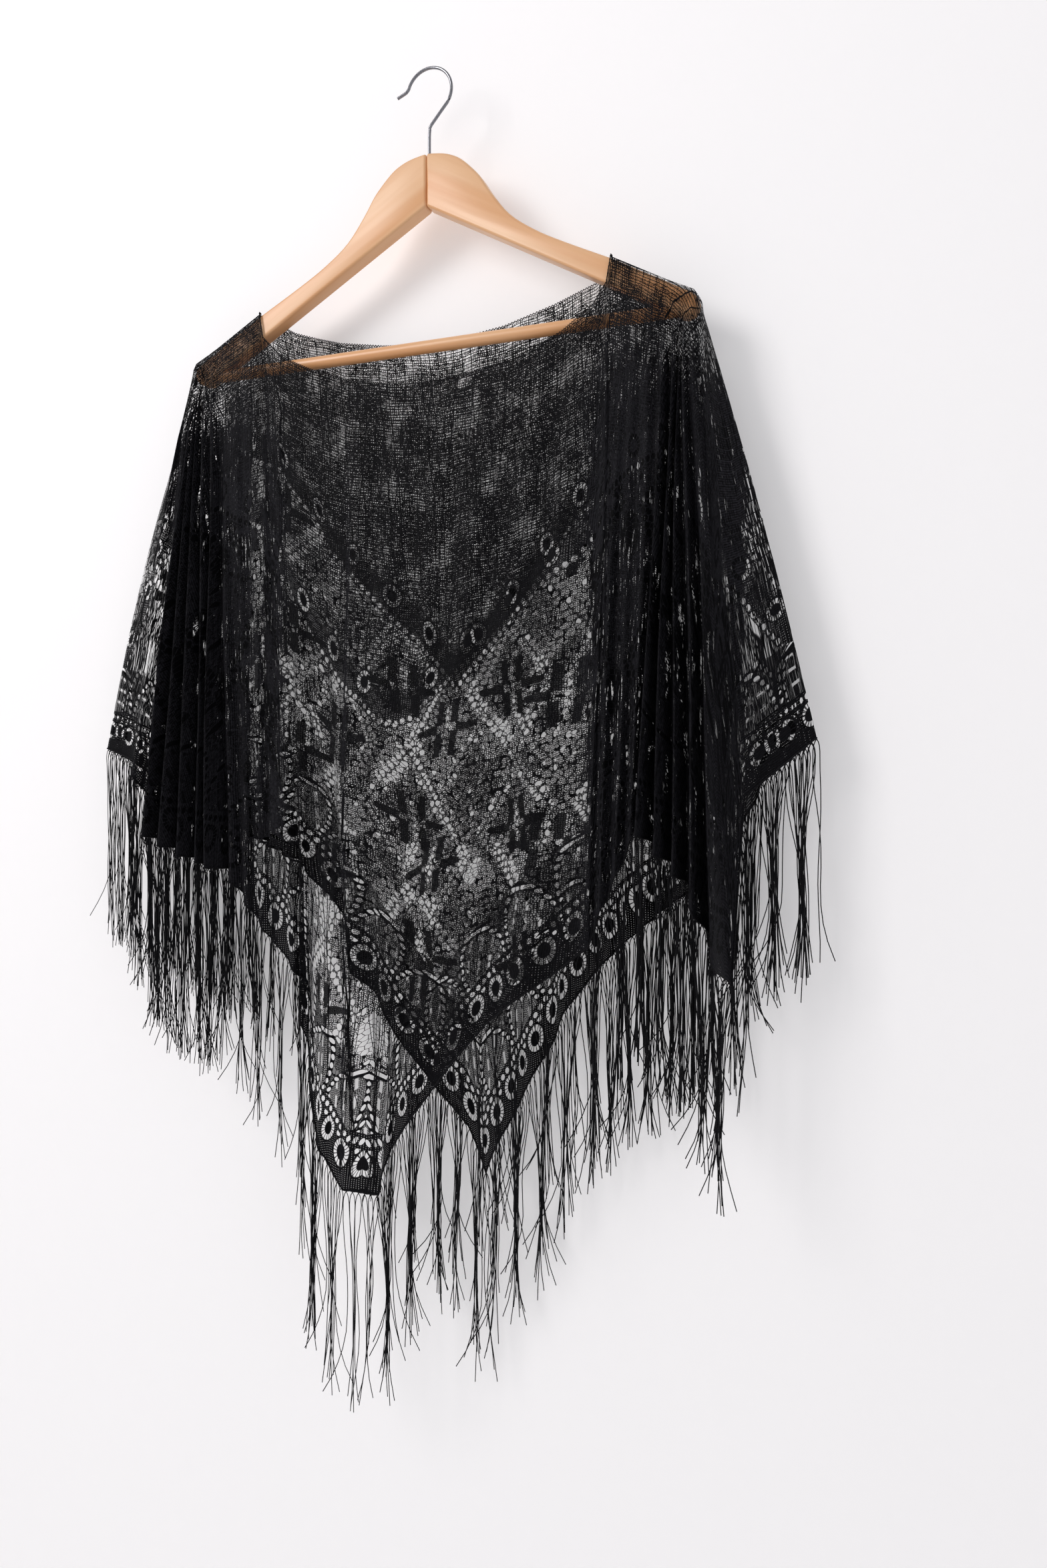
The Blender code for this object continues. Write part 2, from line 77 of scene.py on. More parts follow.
class Flow:
    # a number that runs through a material's nodes, so that a pattern reads as plain sums

    def __init__(self, tree, socket):
        self.tree = tree
        self.socket = socket

    def step(self, kind, *others, clamp=False):
        node = self.tree.nodes.new("ShaderNodeMath")
        node.operation = kind
        node.use_clamp = clamp
        node.hide = True
        for slot, value in zip(node.inputs, (self,) + others):
            if isinstance(value, Flow):
                self.tree.links.new(value.socket, slot)
            else:
                slot.default_value = value
        return Flow(self.tree, node.outputs[0])

    def __add__(self, other):
        return self.step("ADD", other)

    def __sub__(self, other):
        return self.step("SUBTRACT", other)

    def __mul__(self, other):
        return self.step("MULTIPLY", other)

    def __truediv__(self, other):
        return self.step("DIVIDE", other)

    def size(self):
        return self.step("ABSOLUTE")

    def least(self, other):
        return self.step("MINIMUM", other)

    def most(self, other):
        return self.step("MAXIMUM", other)

    def below(self, edge, soft):
        # 1 where the number is under the edge, 0 where it is over, with a soft change
        return self.step("MULTIPLY_ADD", -1.0 / soft, edge / soft + 0.5, clamp=True)

    def above(self, edge, soft):
        return self.step("MULTIPLY_ADD", 1.0 / soft, 0.5 - edge / soft, clamp=True)

    def opposite(self):
        return self.step("MULTIPLY_ADD", -1.0, 1.0)

    def repeated(self, pitch):
        # distance from the nearest of a row of lines
        return self.step("PINGPONG", pitch / 2)

    def local(self, pitch):
        # signed place within one repeat, 0 at its middle
        return self.step("WRAP", pitch / 2, -pitch / 2)

    def reach(self, other):
        # distance from the middle, from two places at right angles
        return (self * self + other * other).step("SQRT")


def pick(flag, whenOne, whenZero):
    if isinstance(whenZero, Flow):
        return whenZero + flag * (whenOne - whenZero)
    return flag.step("MULTIPLY_ADD", whenOne - whenZero, whenZero)


def feed(tree, node, values):
    # sets a node's inputs, by name or number, to plain values or to what feeds them
    for key, value in values.items():
        value = getattr(value, "socket", value)
        if isinstance(value, bpy.types.NodeSocket):
            tree.links.new(value, node.inputs[key])
        else:
            node.inputs[key].default_value = value


def addNode(tree, kind, values=None, **settings):
    node = tree.nodes.new("ShaderNode" + kind)
    for key, value in settings.items():
        setattr(node, key, value)
    feed(tree, node, values or {})
    return node


def addNoise(tree, place, scale, detail, **settings):
    return addNode(tree, "TexNoise", {"Vector": place, "Scale": scale, "Detail": detail}, **settings)


def addTint(tree, shader, share, first, second):
    # the base colour, between two others
    tint = addNode(tree, "Mix", {0: share, 6: first, 7: second}, data_type="RGBA")
    feed(tree, shader, {"Base Color": tint.outputs[2]})


def addRelief(tree, shader, height, strength, distance):
    relief = addNode(tree, "Bump", {"Strength": strength, "Distance": distance, "Height": height})
    feed(tree, shader, {"Normal": relief.outputs[0]})


def ownPlace(tree):
    return addNode(tree, "TexCoord").outputs["Object"]


def readAttribute(tree, name):
    return Flow(tree, addNode(tree, "Attribute", attribute_name=name).outputs["Fac"])


def newMaterial(name):
    made = bpy.data.materials.new(name)
    made.use_nodes = True
    tree = made.node_tree
    tree.nodes.clear()
    shader = addNode(tree, "BsdfPrincipled")
    addNode(tree, "OutputMaterial", {"Surface": shader.outputs["BSDF"]})
    return made, tree, shader


laceLook = {
    "yarn": (0.0024, 0.0023, 0.0029, 1.0),
    # painted highlight: the lace yarn's lighter tone on raised wales and in gathered folds
    "yarnHighlight": (0.0250, 0.0243, 0.0290, 1.0),
    # painted highlight: the strands' lighter tone on each ply's crest
    "strandHighlight": (0.0100, 0.0097, 0.0120, 1.0),
    "surface": {
        "Roughness": 0.58,
        "Specular IOR Level": 0.05,
        "Sheen Weight": 0.006,
        "Sheen Roughness": 0.45,
        "Sheen Tint": (0.75, 0.78, 0.90, 1.0),
    },
    "uvWidth": 1200.0,  # the UV map's square covers this much of the flat cut, in mm
    "uvDepth": 660.0,
    "drift": 6.0,  # how far the knit wanders from its straight lines, in mm
    "soft": 0.28,
    "plainCell": (2.1, 1.6, 0.55),  # knit cells: across and down in mm, and how uneven
    "tinyCell": (1.9, 1.5, 0.60),
    "roundCell": (5.9, 4.8, 0.68),
    "openCell": (7.0, 3.6, 0.85),
    "clearCell": 0.90,  # by chance a round cell past this is left clear
    "hemSlope": 0.784,
    "hemDepth": 640.0,
    "hemHalf": 592.0,
    "borderTall": 76.0,
    "borderEye": (8.6, 10.6, 17),  # half width, half height and how many slits
    "borderEyeHeight": 19.0,
    "borderEyePitch": 25.0,
    "bandEye": (8.0, 9.2, 15),
    "bandEyeHeight": 15.5,  # above the band's lower row of holes
    "bandEyePitch": 46.0,
    "bandHolePitch": 6.8,
    "bandWidth": 27.0,
    "bandPoint": 269.0,
    "flowerAcross": 123.0,
    "flowerDown": 107.0,
    "flowerStart": (61.5, 385.0),
    "ease": 1.3,  # the hung cloth is narrower than its cut, so a flower is laid out this much wider
    "diamond": (33.0, 53.5),
    "petalDown": (7.0, 3.1, 22.0),  # how far from the middle, half width and reach
    "petalAcross": (9.5, 4.7, 28.0),
}


def laceMaterial(name, look, bandSlope, seed, tear=None):
    made, tree, shader = newMaterial(name)
    flat = addNode(tree, "UVMap", uv_map="flatCut").outputs["UV"]

    def noise(scale, detail, shift=0.0):
        lay = {
            "Vector": flat,
            "Location": (shift, 0.7 * shift, 0.0),
            "Scale": (1.0, look["uvDepth"] / look["uvWidth"], 1.0),
        }
        place = addNode(tree, "Mapping", lay).outputs[0]
        return addNoise(tree, place, scale, detail, noise_dimensions="2D")

    def split(source, kind="SeparateColor"):
        # the first two parts of a colour or a place
        node = addNode(tree, kind, {0: source})
        return Flow(tree, node.outputs[0]), Flow(tree, node.outputs[1])

    drift = look["drift"]
    driftAcross, driftDown = split(noise(26.0, 1.0, seed).outputs["Color"])
    u, v = split(flat, "SeparateXYZ")
    across = u.step("MULTIPLY_ADD", look["uvWidth"], -look["uvWidth"] / 2)
    down = v.step("MULTIPLY_ADD", -look["uvDepth"], look["uvDepth"])
    across = across + driftAcross.step("MULTIPLY_ADD", drift, -drift / 2)
    down = down + driftDown.step("MULTIPLY_ADD", drift, -drift / 2)
    soft = look["soft"]

    # in the pleats only part of the cut's width shows, so the knit runs along the hung width there
    gathered = readAttribute(tree, "gather")
    shown = readAttribute(tree, "fold") + driftAcross * drift

    def cells(kind, size):
        place = addNode(tree, "CombineXYZ", {0: shown / size[0], 1: down / size[1]})
        values = {"Vector": place.outputs[0], "Scale": 1.0, "Randomness": size[2]}
        return addNode(tree, "TexVoronoi", values, voronoi_dimensions="2D", feature=kind)

    def net(size):
        # distance from the nearest thread, in cells
        return Flow(tree, cells("DISTANCE_TO_EDGE", size).outputs["Distance"])

    # knitted grounds, each as the share that is open
    side = across.size()
    swell = Flow(tree, noise(44.0, 1.0, seed + 3.0).outputs["Fac"])  # clusters where the knit is pulled open
    loose = swell.above(0.57, 0.20)
    whim = split(cells("F1", look["plainCell"]).outputs["Color"])[0]
    slack = (whim * 0.24 + loose * 0.16).step("MULTIPLY_ADD", -1.0, 0.360)
    rows = down.repeated(2.3).above(0.30, soft)
    squares = across.repeated(8.6).above(0.42, soft)
    plainNet = (net(look["plainCell"]) - slack).above(0.0, 0.08) * rows * squares
    tinyNet = net(look["tinyCell"]).above(0.185, 0.09)
    wales = across.repeated(2.0).above(0.82, 0.2) * down.repeated(1.7).above(0.66, 0.2)
    roundCell = cells("F1", look["roundCell"])
    big = net(look["roundCell"]).above(0.040, 0.04)
    big = big * Flow(tree, roundCell.outputs["Distance"]).below(0.60, 0.06)
    luck = split(roundCell.outputs["Color"])[0]
    roundNet = big * pick(luck.above(look["clearCell"], 0.02), big, tinyNet)
    openNet = net(look["openCell"]).above(0.045, 0.03)

    # the hem: distance in from it, and distance along it from the point
    k = look["hemSlope"]
    n = math.hypot(1.0, k)
    fromPoint = (side.step("MULTIPLY_ADD", -k, look["hemDepth"]) - down) / n
    fromSide = side.step("MULTIPLY_ADD", -1.0, look["hemHalf"])
    sloped = (fromSide - fromPoint).step("GREATER_THAN", 0.0)
    hem = fromPoint.least(fromSide)
    middle = look["borderEyeHeight"]
    along = pick(sloped, (side + down.step("MULTIPLY_ADD", -k, look["hemDepth"] * k)) / n - middle * k, down)
    cosine, sine = pick(sloped, 1 / n, 0.0), pick(sloped, k / n, 1.0)

    def hole(away, beside, radius):
        return away.reach(beside).below(radius, soft)

    def ringOfSlits(ex, ey, rx, ry, count, inner=0.56, outer=0.98):
        # an eye: (its open slits, its whole disc)
        far = (ex / rx).reach(ey / ry)
        turn = ey.step("ARCTAN2", ex) * (count / (2 * math.pi))
        gap = turn.repeated(1.0).above(0.13, 0.12)
        ring = far.above(inner, 0.06) * far.below(outer, 0.06)
        return ring * gap, far.below(outer + 0.14, 0.05)

    def upright(distance, el):
        # from beside the hem to the cloth's own across and down
        return el * cosine - distance * sine, el * sine + distance * cosine

    # border: dense edge, eyes, a row of round holes and scallops of net
    eyePitch = look["borderEyePitch"]
    ex, ey = upright(hem - middle, along.local(eyePitch))
    eyes, eyeDiscs = ringOfSlits(ex, ey, *look["borderEye"])
    between = hole(*upright(hem - middle - 7.5, (along + eyePitch / 2).local(eyePitch)), 2.3)
    rim = hole(hem - 32.0, along.local(6.6), 2.2)
    pitch = eyePitch * 2
    arch = (along.local(pitch) / 22.0).reach((hem - 40.0) / 34.0)
    archHoles = hole((arch - 1.0) * 26.0, (hem + along * 0.4).local(6.4), 2.2)
    archLong = across.repeated(10.5).below(1.3, soft) * down.repeated(15.0).above(2.8, soft)
    scallop = pick(arch.below(1.0, 0.05), (tinyNet * 0.5).most(archLong * 0.85), roundNet * 0.3)
    scallop = scallop * (arch - 1.0).size().above(0.11, 0.04)
    aboveRim = scallop.most(archHoles)
    border = (wales * eyeDiscs.opposite()).most(eyes).most(between) * hem.above(1.2, soft)
    border = pick(hem.above(27.5, soft), rim.most(wales), border)
    border = pick(hem.above(37.0, soft), aboveRim, border)

    # inner band, in a V, measured from its lower row of holes
    bn = math.hypot(1.0, bandSlope)
    band = (side.step("MULTIPLY_ADD", bandSlope, -look["bandPoint"]) + down) / bn
    bandAlong = (side - down * bandSlope) / bn + look["bandPoint"] * bandSlope / bn
    el, off = bandAlong.local(look["bandEyePitch"]), band + look["bandEyeHeight"]
    ex, ey = (el + off * bandSlope) / bn, (off - el * bandSlope) / bn
    bandEyes, bandDiscs = ringOfSlits(ex, ey, *look["bandEye"])
    beyond = band.below(-look["bandWidth"] + 6.0, 4.0) * (el.size() - 9.0).above(0.0, 3.0)
    bandOpen = pick(beyond, plainNet, wales.most(plainNet * 0.12)) * bandDiscs.opposite()
    holePlace = bandAlong.local(look["bandHolePitch"])
    bandOpen = bandOpen.most(bandEyes).most(hole(band + 0.4, holePlace, 2.3))
    bandOpen = bandOpen.most(hole(band + look["bandWidth"] + 1.0, holePlace, 1.5) * 0.7)

    # field: cross flowers, each in a diamond of round holes
    pa, pd = look["flowerAcross"], look["flowerDown"]
    startAcross, startDown = look["flowerStart"]
    fx, fy = (across - startAcross).local(pa) / look["ease"], (down - startDown).local(pd)
    raggedAcross, raggedDown = split(noise(330.0, 1.0, seed + 1.0).outputs["Color"])
    fx = fx + raggedAcross.step("MULTIPLY_ADD", 2.6, -1.3)
    fy = fy + raggedDown.step("MULTIPLY_ADD", 2.6, -1.3)
    apart, half, reach = look["petalDown"]
    bars = (fx.size() - apart).size().below(half, 0.5)
    bars = bars * fy.size().below(reach, soft) * fy.size().above(3.0, soft)
    start, half, reach = look["petalAcross"]
    taper = fx.size().step("MULTIPLY_ADD", -0.09, half)
    level = (fy.size() - taper).below(0.0, soft) * fx.size().above(start, soft) * fx.size().below(reach, soft)
    petals = bars.most(level)
    centre = hole(fx, (fy + 1.5).local(6.4), 2.0) * fy.size().below(17.0, soft)
    wideHalf, tallHalf = look["diamond"]
    edgeSize = wideHalf * tallHalf / math.hypot(wideHalf, tallHalf)
    fromEdge = (fx.size() / wideHalf + fy.size() / tallHalf - 1.0) * edgeSize
    slant = (fy.size() - fx.size() * (wideHalf / tallHalf)) * 0.85
    edgeHoles = hole(fromEdge + 2.6, slant.local(5.9), 2.7)
    edgeHoles = edgeHoles.most(hole(fromEdge - 2.9, (slant + 2.9).local(5.9), 2.5))
    edgeCover = fromEdge.size().below(5.2, soft)
    patch = (fx / 13.0).reach((fy - 34.0) / 15.0).below(1.0, 0.05)
    beside = ((fx.size() - pa / (2 * look["ease"])) / 11.0).reach((fy - 20.0) / 16.0).below(1.0, 0.05)
    ground = pick(patch.most(beside), openNet, roundNet).most(centre)
    field = (ground * edgeCover.opposite()).most(tinyNet * edgeCover * 0.4).most(edgeHoles)
    field = pick(petals, tinyNet * 0.06, field)

    # put together from the shoulder line down
    lace = pick(band.above(2.8, soft), field, bandOpen)
    lace = pick(band.above(-look["bandWidth"] - 2.6, soft), lace, plainNet)
    lace = pick(hem.below(look["borderTall"], soft), border, lace)
    if tear:
        tx, ty = across - tear["across"], down - tear["down"]
        wide = tear["halfWidth"]
        torn = (tx / wide).reach(ty / tear["halfTall"]).below(1.0, 0.2)
        strand = (tx - ty * 0.5 - wide * 0.45).size().below(0.32, 0.2)
        strand = strand.most((tx + ty * 0.3 - wide * 0.66).size().below(0.28, 0.2))
        lace = lace.most(torn * strand.opposite())

    # gathered cloth shows little light, and that in streaks along its folds
    place = addNode(tree, "CombineXYZ", {0: shown * 0.36, 1: down * 0.05 + seed})
    streak = {"Vector": place.outputs[0], "Scale": 1.0, "Detail": 3.0, "Roughness": 0.6}
    streak = Flow(tree, addNode(tree, "TexNoise", streak, noise_dimensions="2D").outputs["Fac"])
    limit = gathered.step("MULTIPLY_ADD", 0.52, 0.14)
    knit = lace.opposite()
    lace = lace * (streak - limit).above(0.0, 0.08)

    # the yarn itself: near black, with a painted highlight on the knit's raised wales, stronger in the
    # gathered folds
    ridge = across.repeated(1.7) * 0.6 + Flow(tree, noise(620.0, 2.0).outputs["Fac"])
    # painted highlight: the gathered folds are tinted lighter than the flat cloth
    foldHighlight = gathered.step("MULTIPLY_ADD", 0.8, 0.25)
    paintedHighlight = ridge.step("MULTIPLY_ADD", 1.3, -0.55, clamp=True) * knit * foldHighlight
    addTint(tree, shader, paintedHighlight, look["yarn"], look["yarnHighlight"])
    addRelief(tree, shader, knit * 0.8 + ridge * 0.4, 0.5, 0.0006)
    feed(tree, shader, {"Alpha": lace.opposite(), **look["surface"]})
    print("lace material", name, len(tree.nodes), "nodes")
    return made


def yarnMaterial(name, look, pitch):
    # two plies twisted round each other, along the strand's own length: a bump, and a painted highlight on
    # each ply's crest with painted shade in the groove between
    made, tree, shader = newMaterial(name)
    turn = readAttribute(tree, "along") * (2 * math.pi / pitch)
    ply = turn.step("SINE").step("MULTIPLY_ADD", 0.5, 0.5)
    fuzz = addNoise(tree, ownPlace(tree), 900.0, 2.0)
    height = ply * 0.7 + Flow(tree, fuzz.outputs["Fac"]) * 0.5
    # painted highlight on the ply crests and painted shade in the grooves, with random fuzz in the tone
    addTint(tree, shader, height.step("MULTIPLY", 0.8, clamp=True), look["yarn"], look["strandHighlight"])
    addRelief(tree, shader, height, 0.6, 0.0003)
    feed(tree, shader, {"Roughness": 0.70, "Specular IOR Level": 0.10, "Sheen Weight": 0.02})
    return made


# One row for each fold line, left to right, as in the part's own solids.
# across and turn place the line on the flat cut; heights are from the mitre; metres and degrees.
foldColumns = ("kind", "across", "turn", "xTop", "zTop", "yTop", "xHem", "zHem", "yHem", "pleats", "depth")
frontFolds = (
    ("edge", -0.250, 0, -0.2205, -0.1100, -0.0008, -0.318, -0.429, -0.0008, 0, 0.000),
    ("arm", -0.250, 12, -0.2195, -0.1045, -0.0090, -0.281, -0.440, -0.0100, 2, 0.024),
    ("arm", -0.250, 38, -0.2165, -0.0995, -0.0092, -0.246, -0.500, -0.0140, 3, 0.034),
    ("arm", -0.250, 70, -0.2080, -0.0955, -0.0092, -0.205, -0.524, -0.0150, 2, 0.032),
    ("arm", -0.250, 90, -0.1960, -0.0895, -0.0090, -0.178, -0.532, -0.0150, 3, 0.018),
    ("arm", -0.182, 90, -0.1542, -0.0662, -0.0088, -0.134, -0.590, -0.0170, 0, 0.000),
    ("neck", -0.178, 90, -0.1535, -0.0650, -0.0090, -0.130, -0.593, -0.0180, 0, 0.000),
    ("neck", -0.165, 90, -0.1500, -0.0860, -0.0090, -0.118, -0.604, -0.0190, 1, 0.006),
    ("neck", -0.145, 90, -0.1300, -0.1060, -0.0100, -0.101, -0.622, -0.0200, 1, 0.012),
    ("neck", -0.110, 90, -0.1000, -0.1210, -0.0110, -0.097, -0.672, -0.0220, 1, 0.010),
    ("neck", -0.065, 90, -0.0620, -0.1350, -0.0115, -0.089, -0.740, -0.0240, 1, 0.008),
    ("neck", -0.035, 90, -0.0320, -0.1400, -0.0120, -0.077, -0.766, -0.0250, 0, 0.000),
    ("neck", -0.014, 90, -0.0130, -0.1430, -0.0120, -0.063, -0.785, -0.0260, 0, 0.000),
    ("neck", 0.014, 90, 0.0130, -0.1430, -0.0120, -0.031, -0.785, -0.0260, 1, 0.006),
    ("neck", 0.045, 90, 0.0410, -0.1400, -0.0120, -0.021, -0.748, -0.0250, 1, 0.009),
    ("neck", 0.090, 89.2, 0.0780, -0.1340, -0.0115, 0.014, -0.698, -0.0220, 1, 0.007),
    ("neck", 0.133, 88, 0.1150, -0.1180, -0.0105, 0.057, -0.645, -0.0200, 1, 0.012),
    ("neck", 0.160, 84.5, 0.1400, -0.1000, -0.0095, 0.113, -0.603, -0.0190, 0, 0.000),
    ("neck", 0.172, 84, 0.1500, -0.0850, -0.0090, 0.132, -0.588, -0.0180, 0, 0.000),
    ("neck", 0.178, 83.5, 0.1535, -0.0650, -0.0090, 0.139, -0.583, -0.0180, 0, 0.000),
    ("arm", 0.182, 83.5, 0.1542, -0.0662, -0.0088, 0.143, -0.570, -0.0170, 3, 0.020),
    ("arm", 0.250, 81, 0.1960, -0.0895, -0.0090, 0.178, -0.490, -0.0150, 3, 0.034),
    ("arm", 0.250, 55, 0.2080, -0.0955, -0.0092, 0.214, -0.532, -0.0150, 2, 0.038),
    ("arm", 0.250, 24, 0.2160, -0.0995, -0.0092, 0.247, -0.604, -0.0220, 0, 0.000),
    ("arm", 0.250, 12, 0.2193, -0.1045, -0.0090, 0.254, -0.470, -0.0110, 0, 0.000),
    ("edge", 0.250, 0, 0.2205, -0.1100, -0.0008, 0.303, -0.428, -0.0008, 0, 0.000),
)
backFolds = (
    ("edge", -0.250, 0, -0.2205, -0.1100, 0.0008, -0.318, -0.429, 0.0008, 0, 0.000),
    ("arm", -0.250, 14, -0.2193, -0.1045, 0.0090, -0.279, -0.452, 0.0095, 3, 0.012),
    ("arm", -0.250, 55, -0.2140, -0.0985, 0.0092, -0.232, -0.482, 0.0095, 3, 0.013),
    ("arm", -0.250, 90, -0.1960, -0.0895, 0.0090, -0.178, -0.506, 0.0090, 3, 0.011),
    ("arm", -0.182, 90, -0.1542, -0.0662, 0.0088, -0.128, -0.530, 0.0100, 0, 0.000),
    ("neck", -0.178, 90, -0.1535, -0.0650, 0.0090, -0.124, -0.534, 0.0100, 1, 0.005),
    ("neck", -0.150, 90, -0.1300, -0.0790, 0.0095, -0.086, -0.571, 0.0110, 0, 0.000),
    ("neck", -0.128, 90, -0.1100, -0.0860, 0.0100, -0.080, -0.618, 0.0110, 1, 0.006),
    ("neck", -0.100, 90, -0.0870, -0.0930, 0.0105, -0.049, -0.651, 0.0110, 0, 0.000),
    ("neck", -0.055, 90, -0.0480, -0.1000, 0.0110, -0.002, -0.708, 0.0115, 1, 0.006),
    ("neck", -0.025, 90, -0.0220, -0.1030, 0.0110, 0.025, -0.738, 0.0120, 0, 0.000),
    ("neck", 0.000, 90, 0.0000, -0.1040, 0.0110, 0.042, -0.773, 0.0125, 0, 0.000),
    ("neck", 0.018, 90, 0.0160, -0.1037, 0.0110, 0.053, -0.747, 0.0120, 1, 0.005),
    ("neck", 0.070, 90, 0.0600, -0.0985, 0.0110, 0.080, -0.695, 0.0120, 1, 0.006),
    ("neck", 0.120, 90, 0.1020, -0.0880, 0.0105, 0.107, -0.641, 0.0115, 1, 0.005),
    ("neck", 0.160, 90, 0.1360, -0.0770, 0.0095, 0.136, -0.603, 0.0110, 0, 0.000),
    ("neck", 0.178, 90, 0.1535, -0.0650, 0.0090, 0.146, -0.594, 0.0105, 0, 0.000),
    ("arm", 0.182, 90, 0.1542, -0.0662, 0.0088, 0.149, -0.590, 0.0090, 3, 0.011),
    ("arm", 0.250, 90, 0.1960, -0.0895, 0.0090, 0.182, -0.560, 0.0090, 4, 0.013),
    ("arm", 0.250, 45, 0.2140, -0.0985, 0.0092, 0.236, -0.520, 0.0095, 2, 0.012),
    ("arm", 0.250, 12, 0.2193, -0.1045, 0.0090, 0.262, -0.456, 0.0095, 0, 0.000),
    ("edge", 0.250, 0, 0.2205, -0.1100, 0.0008, 0.303, -0.428, 0.0008, 0, 0.000),
)

panelCut = {
    "depth": 0.640,
    "halfWidth": 0.592,
    "sideDepth": 0.176,
    "flatArea": 0.483,
    "overArm": 0.009,  # cloth that lies across the arm's top, from the shoulder line
    "overRows": 4,
    "rows": 132,
    "between": 8,  # fine columns between two fold lines
    "sideBow": {"left": 0.008, "right": 0.003},
    "wrinkle": {-1: 0.0018, 1: 0.0050},  # by side: -1 is the front, 1 the back
    "pleatDepth": {-1: 0.74, 1: 1.12},  # share of the table's depth
    "sway": 0.0022,
    "armLift": (0.0016, 0.0012),  # above the arm's top, at the shoulder line and at the arm's face
    "baseGather": 0.46,
    "flatShare": 2.1,  # flat width over hung width where the cloth starts to look gathered
    "fullShare": 5.2,
    "shown": 1.7,
    "gatherReach": 5,  # columns that a stretch's gathers are averaged over
}
# stretches where the fullness is pressed close: panel side, from x, to x, down to, how closely, in metres
pressedFolds = (
    (-1, -0.252, -0.142, -0.90, 0.94),
    (-1, -0.160, -0.112, -0.625, 0.94),
    (-1, 0.124, 0.266, -0.90, 0.94),
    (-1, -0.068, -0.061, -0.90, 0.85),
    (1, 0.160, 0.215, -0.90, 0.70),
    (1, -0.235, -0.190, -0.90, 0.60),
)


def cutLength(across, turn):
    # from the shoulder line to the hem on the flat cut, along one fold line
    slope = (panelCut["depth"] - panelCut["sideDepth"]) / panelCut["halfWidth"]
    angle = math.radians(turn)
    toPoint = (panelCut["depth"] - slope * abs(across)) / (math.sin(angle) + slope * math.cos(angle))
    if turn > 85:
        return toPoint
    return min(toPoint, (panelCut["halfWidth"] - abs(across)) / math.cos(angle))


def foldLines(folds, depth):
    # the table's lines and the ridges and valleys of the pleats between them, some deeper than others
    lines = []
    rows = [dict(zip(foldColumns, row)) for row in folds]
    for number, (row, following) in enumerate(zip(rows, rows[1:])):
        count = max(1, 2 * row["pleats"])
        if row["pleats"] == 0 and abs(following["xHem"] - row["xHem"]) > 0.030:
            count = 2
        for step in range(count):
            f = step / count
            line = {key: blend(row[key], following[key], f) for key in foldColumns[1:9]}
            ridge = step % 2 if row["pleats"] else 0
            line["ridge"] = ridge * row["depth"] * (depth + 0.38 * math.sin(2.3 * number + 2.9 * step))
            onArm = row["kind"] == "arm" and (following["kind"] == "arm" or step == 0)
            line["armness"] = 1.0 if onArm or (row["kind"] == "edge" and step) else 0.0
            lines.append(line)
    lines.append(dict(rows[-1], ridge=0.0, armness=0.0))
    return lines


def fineColumns(folds, depth):
    # soft troughs and ridges: the sharp fold lines joined by rounded stretches
    lines = foldLines(folds, depth)
    keys = foldColumns[1:9] + ("ridge", "armness")
    columns = []
    for number, (line, following) in enumerate(zip(lines, lines[1:])):
        for step in range(panelCut["between"]):
            f = step / panelCut["between"]
            column = {key: blend(line[key], following[key], f) for key in keys}
            column["ridge"] = blend(line["ridge"], following["ridge"], easeInOut(f))
            column["number"] = number + f
            columns.append(column)
    columns.append(dict({key: lines[-1][key] for key in keys}, number=float(len(lines) - 1)))
    return columns


def columnPoint(column, share, towards, seed):
    # middle of the cloth on one column, share of the way down the hanging stretch
    x = blend(column["xTop"], column["xHem"], share)
    height = blend(column["zTop"], column["zHem"], share)
    side = "left" if column["xTop"] < 0 else "right"
    outer = max(0.0, 1.0 - column["turn"] / 60.0)
    x += math.copysign(panelCut["sideBow"][side] * outer * math.sin(math.pi * share), column["xTop"])
    y = blend(column["yTop"], column["yHem"], share**0.8)
    y += towards * column["ridge"] * share**0.85
    number = column["number"]
    held = min(1.0, share * 6.0) * min(1.0, abs(column["turn"]) / 12.0)
    ripple = math.sin(1.9 * number + 5.0 * share + seed) * math.sin(0.63 * number - 3.1 * share + 2 * seed)
    y += towards * panelCut["wrinkle"][towards] * (ripple + 0.9) * held
    x += panelCut["sway"] * math.sin(0.8 * number + 6.0 * share + seed) * held * (1 - share)
    return x, y, height


def gathers(points, flats, wide, rows, towards):
    # how closely the cloth is gathered at each point, from 0 to 1
    reach = panelCut["gatherReach"]
    shares = []
    for i in range(rows + 1):
        start = i * wide
        hung = [abs(points[start + j + 1][0] - points[start + j][0]) for j in range(wide - 1)]
        flat = [math.dist(flats[start + j], flats[start + j + 1]) for j in range(wide - 1)]
        fade = easeInOut(i / (0.26 * rows))
        for j in range(wide):
            low, high = max(0, j - reach), min(wide - 1, j + reach)
            ratio = sum(flat[low:high]) / max(1e-6, sum(hung[low:high]))
            share = (ratio - panelCut["flatShare"]) / (panelCut["fullShare"] - panelCut["flatShare"])
            share = panelCut["baseGather"] * min(1.0, max(0.0, share))
            x, height = points[start + j][0], points[start + j][2]
            for side, first, last, foot, close in pressedFolds:
                if side == towards and first < x < last:
                    edge = min(x - first, last - x) / min(0.022, (last - first) / 2)
                    edge = easeInOut(edge) * easeInOut((height - foot) / 0.02)
                    share = max(share, close * fade * edge)
            shares.append(share)
    return shares


